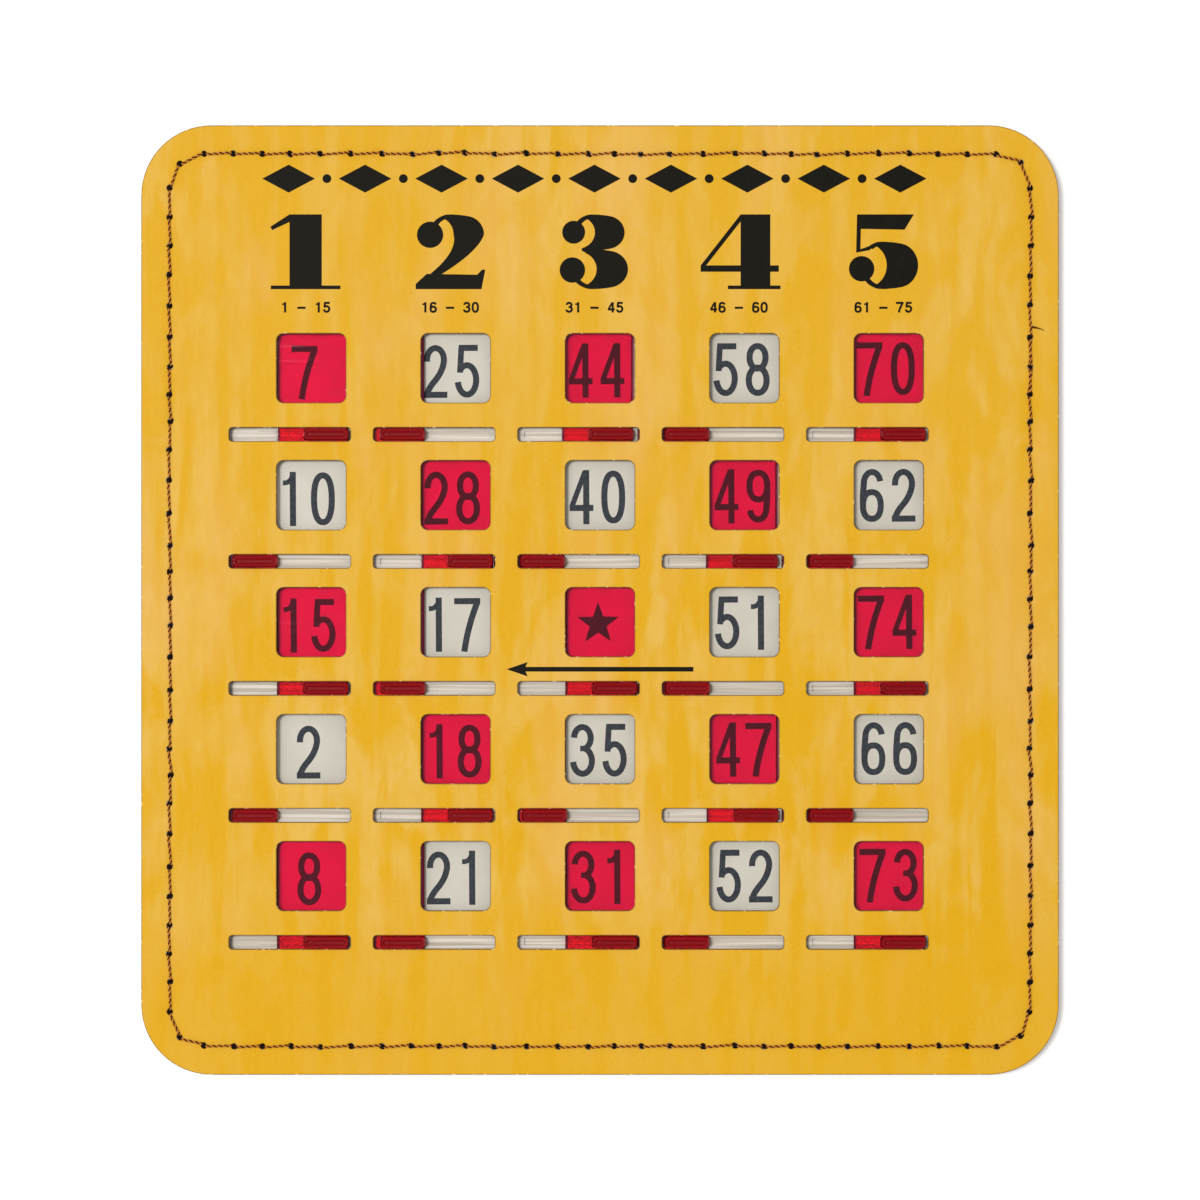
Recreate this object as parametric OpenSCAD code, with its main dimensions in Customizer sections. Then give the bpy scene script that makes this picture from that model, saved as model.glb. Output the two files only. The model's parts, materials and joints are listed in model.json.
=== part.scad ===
// Shutter bingo card: a stitched board card with a sliding red shutter over each printed number.
// The back face lies on z = 0, the thumb tabs point up, and the origin is under the middle of the card.

/* [Windows and slots] */
// Side of each square window
window_w = 16.3; // [13:0.1:20]
// Corner radius of each window
window_r = 1.7; // [0.5:0.1:4]
// Board left between a window and the slot below it
bridge_w = 5.85; // [3.5:0.05:9]
// Corner radius of each slot
slot_r = 0.8; // [0.3:0.05:1.2]
// Clearance beside a thumb tab in its slot
slot_gap = 0.3; // [0.2:0.05:0.8]
// Clearance at each end of the thumb tab's travel in its slot
slot_end_gap = 0.4; // [0.2:0.05:1]

/* [Shutters] */
// Thickness of a shutter plate
shutter_t = 0.6; // [0.5:0.05:1.5]
// Corner radius of a shutter plate
shutter_r = 1; // [0.3:0.1:2]
// Cover of a closed shutter past the left side of its window
lap_left = 0.05; // [0.05:0.05:1]
// Cover of a closed shutter past the right side of its window
lap_right = 0.35; // [0.05:0.05:1]
// Cover of a shutter above its window
lap_top = 0.8; // [0.3:0.1:2]
// Cover of a shutter below its slot
lap_bottom = 0.9; // [0.3:0.1:2]
// Distance from an open shutter to the window that it left
park_gap = 0.35; // [0.3:0.05:3]
// Gap between a closed shutter and its open right-hand neighbour
shutter_gap = 0.3; // [0.2:0.05:1]
// Gap between a shutter and the rails above and below it
side_gap = 0.2; // [0.1:0.05:0.5]
// Vertical running clearance of everything that slides
run_gap = 0.15; // [0.1:0.05:0.4]

/* [Thumb tabs] */
// Length of a thumb tab
tab_l = 10.8; // [8:0.1:13]
// Width of a thumb tab at its foot
tab_w = 2.6; // [2:0.1:4]
// Height of a thumb tab above the face of the card
tab_rise = 1.2; // [0.6:0.1:3]
// Reach of a thumb tab past the right edge of its plate
tab_overhang = 0.35; // [0.2:0.05:1.2]
// Corner radius of a thumb tab, seen from above
tab_r = 0.5; // [0.3:0.05:0.95]
// Lean of each end of a thumb tab
tab_end_draft = 0.45; // [0.1:0.05:0.8]
// Lean of each side of a thumb tab
tab_side_draft = 0.25; // [0.05:0.05:0.35]
// Bevel round the top of a thumb tab
tab_bevel = 0.2; // [0.1:0.05:0.3]
// Rim round the dished top of a thumb tab
dish_rim = 0.3; // [0.15:0.05:0.4]
// Depth of the dished top
dish_d = 0.25; // [0.1:0.05:0.5]

/* [Clearing slide] */
// Thickness of the clearing slide
slide_t = 0.4; // [0.3:0.05:1]
// Height of each rung under a row of slots
rung_w = 8; // [6:0.1:10]
// Width of the end links and of the spine
link_w = 4.2; // [2:0.1:8]
// Distance from a link or the spine to the nearest window
link_gap = 0.4; // [0.2:0.1:2]
// Free end play of the slide in its pocket
end_gap = 0.4; // [0.2:0.1:1]
// Width of the lug under each shutter
lug_w = 1; // [0.6:0.1:1.6]
// Height of the lug that is drawn, which stops short of the slide
lug_h = 0.2; // [0.1:0.05:0.5]
// Distance from the end of a thumb tab to the end of its lug
lug_inset = 1.4; // [0.8:0.1:2]
// Clearance round a lug in its slot of the slide
lug_gap = 0.3; // [0.1:0.05:0.5]
// Clearance round the centre lug in its hole of the slide
stake_gap = 0.05; // [0.02:0.01:0.1]

/* [Boards] */
// Width of the rail between two rows
rail_w = 2.45; // [1.5:0.05:6]
// Border beside the pocket
side_border = 9.85; // [9:0.05:20]
// Border above the pocket
top_border = 48; // [20:0.5:70]
// Border below the pocket
bottom_border = 28.45; // [18:0.05:50]
// Corner radius of the card
card_r = 16.5; // [12:0.5:18]
// Thickness of the front board
front_board_t = 1; // [0.8:0.05:2]
// Thickness of the back board
back_board_t = 1.6; // [0.9:0.05:3]
// Thickness of the facing papers
paper_t = 0.25; // [0.15:0.05:0.4]
// Thickness of the number sheet
sheet_t = 0.3; // [0.15:0.05:0.5]
// Clearance of the number sheet in the pocket
sheet_gap = 0.3; // [0.1:0.1:1]

/* [Stitching] */
// Distance from the edge of the card to the stitching
stitch_inset = 6.7; // [5.5:0.1:7.5]
// Length of one stitch, before it is fitted to the side
stitch_pitch = 7; // [5:0.1:10]
// Corner radius of the line of stitching
stitch_r = 8; // [5:0.5:9]
// Diameter of the needle holes
needle_d = 1.5; // [1.2:0.1:2]
// Diameter of the needle thread on the front
needle_thread_d = 0.6; // [0.4:0.05:0.8]
// Diameter of the bobbin thread on the back
bobbin_thread_d = 0.4; // [0.3:0.05:0.45]
// Clearance of a thread from the paper that it lies on
thread_gap = 0.02; // [0.01:0.01:0.05]
// Distance from the end of a stitch to the middle of its needle hole
stitch_gap = 0.15; // [0.1:0.05:0.4]
// Clearance of the twisted threads in a needle hole
lock_gap = 0.2; // [0.15:0.05:0.3]
// Width of the pressed channel that holds the bobbin thread
channel_w = 1.8; // [1.6:0.1:2.4]
// Depth of the pressed channel
channel_d = 0.45; // [0.4:0.05:0.6]

/* [Hidden] */
$fn = 48;
rows = 5;
cols = 5;
centre_row = (rows + 1) / 2;
centre_col = (cols + 1) / 2;
corner_stitches = 2;
overrun = 1;

// How far each shutter is closed in the pose that is drawn: 0 is open, 1 is closed
closed_shares = [
    [1, 0.06, 0.95, 0, 1],
    [0.02, 1, 0, 0.95, 0],
    [1, 0.065, 1, 0.01, 1],
    [0.02, 1, 0.03, 0.96, 0],
    [1, 0.065, 1, 0, 1]
];

// Shutters and the grid that follows from them
shutter_w = window_w + lap_left + lap_right;
plate_x = (lap_right - lap_left) / 2;
travel = window_w + lap_right + park_gap;
col_pitch = shutter_w + travel + shutter_gap;
slot_w = tab_w + 2 * slot_gap;
slot_l = travel + tab_l + 2 * slot_end_gap;
slot_drop = window_w / 2 + bridge_w + slot_w / 2;
shutter_top = window_w / 2 + lap_top;
shutter_low = slot_drop + slot_w / 2 + lap_bottom;
shutter_h = shutter_top + shutter_low;
row_pitch = shutter_h + 2 * side_gap + rail_w;
grid_x = (cols - 1) / 2 * col_pitch;
tab_x = plate_x + shutter_w / 2 + tab_overhang - tab_l / 2;
slot_x = tab_x - travel / 2;
lug_l = tab_l - 2 * lug_inset;

// Pocket between the boards, and the outline of the card
slide_reach = grid_x + window_w / 2 + link_gap + link_w;
pocket_x = slide_reach + travel + end_gap;
pocket_h = (rows - 1) * row_pitch + shutter_h + 2 * side_gap;
card_w = 2 * (pocket_x + side_border);
card_h = pocket_h + top_border + bottom_border;
pocket_top = card_h / 2 - top_border;
pocket_low = pocket_top - pocket_h;
slide_right = pocket_x - end_gap;

// Heights of the layers
sheet_z = paper_t + back_board_t;
slide_z = sheet_z + sheet_t + run_gap;
rail_z = slide_z + slide_t + run_gap;
plate_z = rail_z + lug_h;
board_z = plate_z + shutter_t + run_gap;
paper_z = board_z + front_board_t;
face_z = paper_z + paper_t;
tab_h = face_z + tab_rise - plate_z - shutter_t;
stake_h = plate_z - slide_z;

// Line of stitching: straight runs with rounded corners, as points in order round the card
stitch_x = card_w / 2 - stitch_inset;
stitch_y = card_h / 2 - stitch_inset;
run_x = stitch_x - stitch_r;
run_y = stitch_y - stitch_r;
stitches_x = round(2 * run_x / stitch_pitch);
stitches_y = round(2 * run_y / stitch_pitch);
needle_points = concat(
    [for (i = [0 : stitches_x]) [run_x * (2 * i / stitches_x - 1), -stitch_y]],
    corner_points(run_x, -run_y, -90),
    [for (i = [0 : stitches_y]) [stitch_x, run_y * (2 * i / stitches_y - 1)]],
    corner_points(run_x, run_y, 0),
    [for (i = [0 : stitches_x]) [run_x * (1 - 2 * i / stitches_x), stitch_y]],
    corner_points(-run_x, run_y, 90),
    [for (i = [0 : stitches_y]) [-stitch_x, run_y * (1 - 2 * i / stitches_y)]],
    corner_points(-run_x, -run_y, 180)
);

function corner_points(x, y, from) =
    [for (i = [1 : corner_stitches - 1])
        let (a = from + 90 * i / corner_stitches) [x + stitch_r * cos(a), y + stitch_r * sin(a)]];

function col_x(col) = (col - 1) * col_pitch - grid_x;
function row_y(row) = pocket_top - side_gap - shutter_top - (row - 1) * row_pitch;
function slot_y(row) = row_y(row) - slot_drop;
function rung_low(row) = row_y(row) - shutter_low;
function shift_x(row, col) = (closed_shares[row - 1][col - 1] - 1) * travel;
function is_centre(row, col) = row == centre_row && col == centre_col;
function shutter_name(row, col) =
    is_centre(row, col) ? "centre_shutter" : str("shutter_r", row, "_c", col);

// Rectangle with round corners, centred
module round_rect(w, h, r) {
    square([w - 2 * r, h], center = true);
    square([w, h - 2 * r], center = true);
    for (x = [-1, 1], y = [-1, 1])
        translate([x * (w / 2 - r), y * (h / 2 - r)])
            circle(r);
}

// Outline of the card
module card_outline() {
    round_rect(card_w, card_h, card_r);
}

// Every window and thumb slot, as one cut
module view_cuts(z, t) {
    for (row = [1 : rows], col = [1 : cols]) {
        translate([col_x(col), row_y(row), z - overrun])
            linear_extrude(t + 2 * overrun)
                round_rect(window_w, window_w, window_r);
        translate([col_x(col) + slot_x, slot_y(row), z - overrun])
            linear_extrude(t + 2 * overrun)
                round_rect(slot_l, slot_w, slot_r);
    }
}

// Every needle hole, as one cut
module needle_cuts(z, t) {
    for (p = needle_points)
        translate([p.x, p.y, z - overrun])
            cylinder(d = needle_d, h = t + 2 * overrun);
}

// Band along the line of stitching
module stitch_band(w) {
    difference() {
        round_rect(2 * stitch_x + w, 2 * stitch_y + w, stitch_r + w / 2);
        round_rect(2 * stitch_x - w, 2 * stitch_y - w, stitch_r - w / 2);
    }
}

// One layer of the front: outline, windows, slots and needle holes
module front_layer(z, t) {
    difference() {
        translate([0, 0, z])
            linear_extrude(t)
                card_outline();
        view_cuts(z, t);
        needle_cuts(z, t);
    }
}

module front_paper() {
    color("goldenrod")
        front_layer(paper_z, paper_t);
}

module front_board() {
    color("tan")
        front_layer(board_z, front_board_t);
}

// Spacer across the whole card, cut from the card's outline between two heights
module cross_spacer(low, high) {
    color("burlywood")
        difference() {
            translate([0, 0, sheet_z])
                linear_extrude(board_z - sheet_z)
                    intersection() {
                        card_outline();
                        translate([-card_w / 2, low])
                            square([card_w, high - low]);
                    }
            needle_cuts(sheet_z, board_z - sheet_z);
        }
}

module spacer_top() {
    cross_spacer(pocket_top, card_h / 2);
}

module spacer_bottom() {
    cross_spacer(-card_h / 2, pocket_low);
}

// Spacer beside the pocket, on the side that is given
module side_spacer(side) {
    color("burlywood")
        difference() {
            translate([side * (pocket_x + side_border / 2), pocket_low + pocket_h / 2, sheet_z])
                linear_extrude(board_z - sheet_z)
                    square([side_border, pocket_h], center = true);
            needle_cuts(sheet_z, board_z - sheet_z);
        }
}

module spacer_left() {
    side_spacer(-1);
}

module spacer_right() {
    side_spacer(1);
}

// Rail under the front board, below one row of shutters
module row_rail(row) {
    color("burlywood")
        translate([-pocket_x, row_y(row) - shutter_low - side_gap - rail_w, rail_z])
            cube([2 * pocket_x, rail_w, board_z - rail_z]);
}

// Ladder that sweeps the shutters open: rungs under the slots, a spine on the right and links on the left
module clearing_slide() {
    lug_slot_w = lug_w + 2 * lug_gap;
    color("white")
        translate([shift_x(centre_row, centre_col), 0, slide_z])
            linear_extrude(slide_t)
                difference() {
                    union() {
                        for (row = [1 : rows])
                            translate([-slide_reach, rung_low(row)])
                                square([slide_reach + slide_right, rung_w]);
                        translate([slide_right - link_w, rung_low(rows)])
                            square([link_w, rung_low(1) + rung_w - rung_low(rows)]);
                        for (row = [1 : rows - 1])
                            translate([-slide_reach, slot_y(row + 1) + lug_slot_w / 2])
                                square([link_w, row_pitch - lug_slot_w]);
                    }
                    for (row = [1 : rows], col = [1 : cols])
                        translate([col_x(col) + tab_x, slot_y(row)])
                            if (is_centre(row, col))
                                square([lug_l + 2 * stake_gap, lug_w + 2 * stake_gap], center = true);
                            else
                                translate([-travel / 2, 0])
                                    square([travel + lug_l + 2 * lug_gap, lug_slot_w], center = true);
                }
}

module number_sheet() {
    color("ivory")
        translate([sheet_gap - pocket_x, pocket_low + sheet_gap, sheet_z])
            cube([2 * (pocket_x - sheet_gap), pocket_h - 2 * sheet_gap, sheet_t]);
}

module back_board() {
    color("tan")
        difference() {
            translate([0, 0, paper_t])
                linear_extrude(back_board_t)
                    card_outline();
            translate([0, 0, paper_t - overrun])
                linear_extrude(channel_d + overrun)
                    stitch_band(channel_w + 2 * paper_t);
            needle_cuts(paper_t, back_board_t);
        }
}

// Facing of the back, pressed into a channel along the stitching
module back_paper() {
    color("goldenrod")
        difference() {
            union() {
                linear_extrude(paper_t)
                    card_outline();
                linear_extrude(channel_d + paper_t)
                    stitch_band(channel_w + 2 * paper_t);
            }
            translate([0, 0, -overrun])
                linear_extrude(channel_d + overrun)
                    stitch_band(channel_w);
            needle_cuts(0, channel_d + paper_t);
        }
}

// One stitch with round ends, lying between two needle holes
module stitch(from, to, d, z) {
    step = to - from;
    reach = norm(step) - d - 2 * stitch_gap;
    translate([from.x, from.y, z])
        rotate([0, 90, atan2(step.y, step.x)])
            translate([0, 0, d / 2 + stitch_gap])
                rotate_extrude()
                    intersection() {
                        union() {
                            square([d / 2, reach]);
                            circle(d = d);
                            translate([0, reach])
                                circle(d = d);
                        }
                        translate([0, -d])
                            square([d, reach + 2 * d]);
                    }
}

// Every stitch on one face of the card
module stitch_row(d, z) {
    count = len(needle_points);
    for (i = [0 : count - 1])
        stitch(needle_points[i], needle_points[(i + 1) % count], d, z);
}

// Stitches on the front, and the twisted threads that fill the needle holes
module needle_thread() {
    lock_low = channel_d;
    color("saddlebrown") {
        stitch_row(needle_thread_d, face_z + thread_gap + needle_thread_d / 2);
        for (p = needle_points)
            translate([p.x, p.y, lock_low])
                cylinder(d = needle_d - 2 * lock_gap, h = face_z - lock_low);
    }
}

module bobbin_thread() {
    color("saddlebrown")
        stitch_row(bobbin_thread_d, channel_d - thread_gap - bobbin_thread_d / 2);
}

// Thumb tab on the top of a shutter plate: leaning walls, a bevelled top edge and a dish for the finger
module thumb_tab() {
    top_l = tab_l / 2 - tab_end_draft;
    top_w = tab_w / 2 - tab_side_draft;
    bevel_z = tab_h - tab_bevel;
    foot_x = tab_l / 2 - tab_overhang;
    difference() {
        intersection() {
            linear_extrude(tab_h)
                round_rect(tab_l, tab_w, tab_r);
            translate([0, tab_w / 2, 0])
                rotate([90, 0, 0])
                    linear_extrude(tab_w)
                        polygon([
                            [-tab_l / 2, 0], [foot_x, 0], [foot_x, run_gap], [tab_l / 2, run_gap],
                            [top_l, bevel_z], [top_l - tab_bevel, tab_h],
                            [tab_bevel - top_l, tab_h], [-top_l, bevel_z]
                        ]);
            translate([-tab_l / 2, 0, 0])
                rotate([90, 0, 90])
                    linear_extrude(tab_l)
                        polygon([
                            [-tab_w / 2, 0], [tab_w / 2, 0], [top_w, bevel_z],
                            [top_w - tab_bevel, tab_h], [tab_bevel - top_w, tab_h], [-top_w, bevel_z]
                        ]);
        }
        translate([0, 0, tab_h - dish_d])
            linear_extrude(dish_d + overrun)
                dish_outline(2 * (top_l - tab_bevel - dish_rim), 2 * (top_w - tab_bevel - dish_rim));
    }
}

// Outline with half-round ends
module dish_outline(l, w) {
    square([l - w, w], center = true);
    for (x = [-1, 1])
        translate([x * (l - w) / 2, 0])
            circle(d = w);
}

// One shutter: plate, thumb tab and the lug below it
module shutter(row, col) {
    lug_drop = is_centre(row, col) ? stake_h : lug_h;
    color("crimson")
        translate([col_x(col) + shift_x(row, col), row_y(row), plate_z]) {
            translate([plate_x, (shutter_top - shutter_low) / 2, 0])
                linear_extrude(shutter_t)
                    round_rect(shutter_w, shutter_h, shutter_r);
            translate([tab_x, -slot_drop, shutter_t])
                thumb_tab();
            translate([tab_x - lug_l / 2, -slot_drop - lug_w / 2, -lug_drop])
                cube([lug_l, lug_w, lug_drop]);
        }
}

front_paper();
front_board();
spacer_top();
spacer_bottom();
spacer_left();
spacer_right();
for (row = [1 : rows - 1])
    row_rail(row);
clearing_slide();
number_sheet();
back_board();
back_paper();
needle_thread();
bobbin_thread();
for (row = [1 : rows], col = [1 : cols])
    shutter(row, col);
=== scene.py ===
import json
import math
from types import SimpleNamespace as Settings

import bpy
import bmesh
import numpy as np
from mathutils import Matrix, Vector
from mathutils.geometry import delaunay_2d_cdt

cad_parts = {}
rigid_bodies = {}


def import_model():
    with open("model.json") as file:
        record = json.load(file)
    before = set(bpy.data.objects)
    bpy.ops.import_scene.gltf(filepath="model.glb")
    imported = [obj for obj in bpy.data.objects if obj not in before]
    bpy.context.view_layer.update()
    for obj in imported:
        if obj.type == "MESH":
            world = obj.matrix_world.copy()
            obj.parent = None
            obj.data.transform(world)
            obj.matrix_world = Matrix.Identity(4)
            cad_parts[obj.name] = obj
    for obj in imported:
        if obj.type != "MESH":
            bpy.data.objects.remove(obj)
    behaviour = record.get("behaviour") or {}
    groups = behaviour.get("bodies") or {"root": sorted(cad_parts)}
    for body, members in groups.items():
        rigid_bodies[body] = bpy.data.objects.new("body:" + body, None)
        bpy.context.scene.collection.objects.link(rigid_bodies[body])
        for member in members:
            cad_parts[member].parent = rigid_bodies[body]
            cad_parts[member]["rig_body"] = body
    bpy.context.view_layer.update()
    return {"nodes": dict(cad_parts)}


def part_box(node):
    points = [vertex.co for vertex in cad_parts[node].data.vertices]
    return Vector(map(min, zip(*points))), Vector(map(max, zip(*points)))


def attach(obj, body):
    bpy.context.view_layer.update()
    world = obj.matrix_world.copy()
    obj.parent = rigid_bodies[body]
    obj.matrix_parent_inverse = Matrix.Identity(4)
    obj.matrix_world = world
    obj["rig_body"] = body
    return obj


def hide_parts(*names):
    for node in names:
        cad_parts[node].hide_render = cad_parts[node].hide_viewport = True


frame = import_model()
scene = bpy.context.scene
scene.view_settings.view_transform = "Standard"
mm = 0.001
dice = np.random.default_rng(11)  # fixed seed, the same scatter every run
meshing = Settings(
    sharp=math.radians(40),  # edges that turn more than this look sharp
    inside=1,  # a fill keeps only what its loops enclose
    merge=1e-6,
)

# the grid of windows, in millimetres, as the boards are cut
grid = Settings(
    colPitch=34.0,
    window=16.3,
    windowRadius=1.7,
    slotLength=28.6,
    slotWidth=3.2,
    slotRadius=0.8,
    slotShift=-5.05,
    slotDrop=15.6,
    slotBand=(0.1, 0.07),  # shares of a row's height off a slot's middle, outside and inside its strip
    plateAbove=8.95,  # from a window's middle up to the top of its shutter
)


def shutterNode(row, col):
    return "centre_shutter" if row == col == 3 else f"shutter_r{row}_c{col}"


def nodeBox(name):  # low and high corner of a node in millimetres
    low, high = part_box(name)
    return np.array(low) / mm, np.array(high) / mm


def colX(col):
    return (col - 3) * grid.colPitch


def rowY(row):  # read from the top edge of the row's first shutter
    return nodeBox(shutterNode(row, 1))[1][1] - grid.plateAbove


paperLow, paperHigh = nodeBox("front_paper")
faceLow, faceTop, cardHalf = paperLow[2], paperHigh[2], paperHigh[:2]
sheetTop = nodeBox("number_sheet")[1][2]
cells = [(row, col) for row in range(1, 6) for col in range(1, 6)]


# shared mesh work

def gridQuads(rows, cols):
    # faces of a grid of points, row by row, each row joined round on itself
    i = np.arange(rows - 1)[:, None] * cols
    j = np.arange(cols)[None, :]
    k = (j + 1) % cols
    return np.stack([i + j, i + k, i + cols + k, i + cols + j], -1).reshape(-1, 4)


def tubeFaces(count, rings, sides):  # of tubes of points, one after another: their walls, then their ends
    each = rings * sides
    move = np.arange(count)[:, None, None] * each
    caps = np.stack([np.arange(sides)[::-1], each - sides + np.arange(sides)])
    walls = (gridQuads(rings, sides)[None] + move).reshape(-1, 4)
    return walls.tolist(), (caps[None] + move).reshape(-1, sides).tolist()


def gather(parts):  # points and faces of several meshes as one
    faces, count = [], 0
    for points, rings in parts:
        faces += [[i + count for i in f] for f in rings]
        count += len(points)
    return np.concatenate([points for points, rings in parts]), faces


def lift(points, z):  # flat points to a given height
    return np.column_stack([points, np.full(len(points), z)])


def addObject(name, data):
    made = bpy.data.objects.new(name, data)
    scene.collection.objects.link(made)
    return made


def addPiece(name, verts, faces, materials, body, smooth=True, faceMaterial=None):
    mesh = bpy.data.meshes.new(name)
    mesh.from_pydata((np.asarray(verts) * mm).tolist(), [], [list(map(int, f)) for f in faces])
    for material in materials:
        mesh.materials.append(material)
    if faceMaterial is not None:
        mesh.polygons.foreach_set("material_index", np.asarray(faceMaterial, np.int32))
    work = bmesh.new()
    work.from_mesh(mesh)
    bmesh.ops.recalc_face_normals(work, faces=work.faces)
    work.to_mesh(mesh)
    work.free()
    mesh.polygons.foreach_set("use_smooth", np.full(len(mesh.polygons), smooth))
    mesh.set_sharp_from_angle(angle=meshing.sharp)
    mesh.update()
    piece = addObject(name, mesh)
    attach(piece, body)
    return piece


def roundRect(w, h, r, corner=6, side=1):
    # four quarter circles (x0 + r cos t, y0 + r sin t) joined by straight sides, anticlockwise
    t = np.radians(np.linspace(0, 90, corner + 1)[None, :] + np.array([0, 90, 180, 270])[:, None])
    middle = np.array([[1, 1], [-1, 1], [-1, -1], [1, -1]]) * (w / 2 - r, h / 2 - r)
    bends = middle[:, None, :] + r * np.stack([np.cos(t), np.sin(t)], -1)
    share = np.linspace(0, 1, side + 2)[1:-1][None, :, None]
    runs = bends[:, -1:, :] * (1 - share) + np.roll(bends, -1, 0)[:, :1, :] * share
    return np.concatenate([bends, runs], 1).reshape(-1, 2)


def ringLoop(x, y, r, count):  # (x + r cos t, y + r sin t)
    t = np.linspace(0, 2 * math.pi, count, endpoint=False)
    return np.column_stack([x + r * np.cos(t), y + r * np.sin(t)])


def fillFlat(loops, extra=None):
    # flat triangles inside the first loop and outside the rest, which are convex, as indices into all points
    more = np.zeros((0, 2)) if extra is None else extra
    points = np.concatenate(loops + [more])
    owner = np.concatenate([np.full(len(loop), i) for i, loop in enumerate(loops)] + [np.zeros(len(more))])
    starts = np.cumsum([0] + [len(loop) for loop in loops])
    edges = []
    for start, loop in zip(starts, loops):
        ring = np.arange(len(loop))
        edges += np.column_stack([start + ring, start + np.roll(ring, -1)]).tolist()
    corners = [Vector(p) for p in points]
    out = delaunay_2d_cdt(corners, edges, [], meshing.inside, meshing.merge)
    triangles, origins = out[2:4]
    source = np.array([first[0] for first in origins])
    made = source[np.array(triangles)]
    near = owner[made]
    inHole = (near[:, 0] == near[:, 1]) & (near[:, 0] == near[:, 2]) & (near[:, 0] > 0)
    return made[~inHole]


# node groups and materials

def tone(r, g, b):  # screen colour to linear
    v = np.array([r, g, b]) / 255
    v = np.where(v <= 0.04045, v / 12.92, ((v + 0.055) / 1.055) ** 2.4)
    return (*v.tolist(), 1.0)


def put(tree, kind, values=None, **settings):
    node = tree.nodes.new(kind)
    for key, value in settings.items():
        setattr(node, key, value)
    for key, value in (values or {}).items():
        if isinstance(value, bpy.types.NodeSocket):
            tree.links.new(value, node.inputs[key])
        else:
            node.inputs[key].default_value = value
    return node


def newGroup(name, keys):
    group = bpy.data.node_groups.new(name, "ShaderNodeTree")
    for key in keys:
        group.interface.new_socket(key, in_out="INPUT", socket_type="NodeSocketFloat")
    group.interface.new_socket("Mask", in_out="OUTPUT", socket_type="NodeSocketFloat")
    return group, put(group, "NodeGroupInput").outputs, put(group, "NodeGroupOutput").inputs["Mask"]


def stretched(group, x, y, seed):  # object coordinates times (x, y, x), then moved by the seed
    place = put(group, "ShaderNodeTexCoord")
    size = put(group, "ShaderNodeCombineXYZ", {0: x, 1: y, 2: x})
    longer = put(group, "ShaderNodeVectorMath", {0: place.outputs["Object"], 1: size.outputs[0]},
                 operation="MULTIPLY")
    return put(group, "ShaderNodeVectorMath", {0: longer.outputs[0], 1: seed}, operation="ADD").outputs[0]


fibreKeys = ("Across", "Along", "Detail", "Wander", "Seed", "Low", "High")


def makeFibre():  # noise drawn out along Y
    group, given, mask = newGroup("fibre", fibreKeys)
    noise = put(group, "ShaderNodeTexNoise", {
        "Vector": stretched(group, given["Across"], given["Along"], given["Seed"]),
        "Scale": 1.0, "Roughness": 0.55, "Detail": given["Detail"], "Distortion": given["Wander"]})
    spread = put(group, "ShaderNodeMapRange", {"Value": noise.outputs["Fac"], "From Min": given["Low"],
                                              "From Max": given["High"]}, interpolation_type="SMOOTHSTEP")
    group.links.new(spread.outputs[0], mask)
    return group


def makeBands():  # the figure of a veneer, sin(20 p x + drift), with the drift drawn out along Y
    group, given, mask = newGroup("bands", ("Across", "Along", "Drift", "Seed"))
    wave = put(group, "ShaderNodeTexWave", {
        "Vector": stretched(group, given["Across"], given["Along"], given["Seed"]),
        "Scale": 1.0, "Distortion": given["Drift"], "Detail": 2.0, "Detail Scale": 1.3,
        "Detail Roughness": 0.55}, wave_type="BANDS", bands_direction="X", wave_profile="SIN")
    group.links.new(wave.outputs["Fac"], mask)
    return group


fibre = makeFibre()
bands = makeBands()

fibres = {  # lumps per metre across and along, detail, wander, seed, and the noise that gives 0 and 1
    "streak": (210, 17, 3, 0.6, 11, 0.3, 0.7),
    "mottle": (84, 34, 3, 0.9, 3, 0.3, 0.7),
    "dapple": (290, 130, 3, 0.8, 21, 0.32, 0.68),
    "broad": (22, 9, 1, 0.3, 9, 0.35, 0.65),
    "patch": (60, 17, 2, 0.4, 14, 0.5, 0.72),
    "hairs": (700, 90, 3, 0.2, 5, 0.3, 0.7),
    "grit": (2300, 2300, 2, 0, 7, 0.3, 0.7),
    "tooth": (4200, 3600, 2, 0, 1, 0.2, 0.8),
    "chips": (800, 800, 2, 0, 17, 0.6, 0.7),
    "boardLumps": (900, 700, 4, 0.4, 2, 0.3, 0.7),
    "boardFlecks": (2600, 2200, 2, 0, 8, 0.62, 0.7),
    "cardCloud": (120, 90, 2, 0.2, 4, 0.3, 0.7),
    "cardTooth": (2400, 2000, 2, 0, 6, 0.2, 0.8),
    "drawnLines": (22, 1300, 2, 0.4, 7, 0.34, 0.66),
    "slideCloud": (90, 90, 2, 0.2, 2, 0.3, 0.7),
    "scuffs": (60, 3000, 3, 0.3, 1, 0.55, 0.75),
    "swell": (160, 160, 1, 0, 5, 0.2, 0.8),
    "inkWear": (1500, 1500, 3, 0.2, 3, 0.35, 0.75),
    "plyHairs": (5000, 5000, 2, 0.4, 2, 0.3, 0.7),
}


def useGroup(tree, group, **values):
    return put(tree, "ShaderNodeGroup", values, node_tree=group).outputs["Mask"]


def useFibre(tree, name):
    return useGroup(tree, fibre, **dict(zip(fibreKeys, fibres[name])))


def blendColour(tree, share, a, b):  # a (1 - share) + b share, on the colour sockets of a mix node
    return put(tree, "ShaderNodeMix", {0: share, 6: a, 7: b}, data_type="RGBA").outputs[2]


def average(tree, a, b, share):  # a (1 - share) + b share, on its number sockets
    return put(tree, "ShaderNodeMix", {0: share, 2: a, 3: b}, data_type="FLOAT").outputs[0]


def maths(tree, operation, *values):
    return put(tree, "ShaderNodeMath", dict(enumerate(values)), operation=operation).outputs[0]


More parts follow.
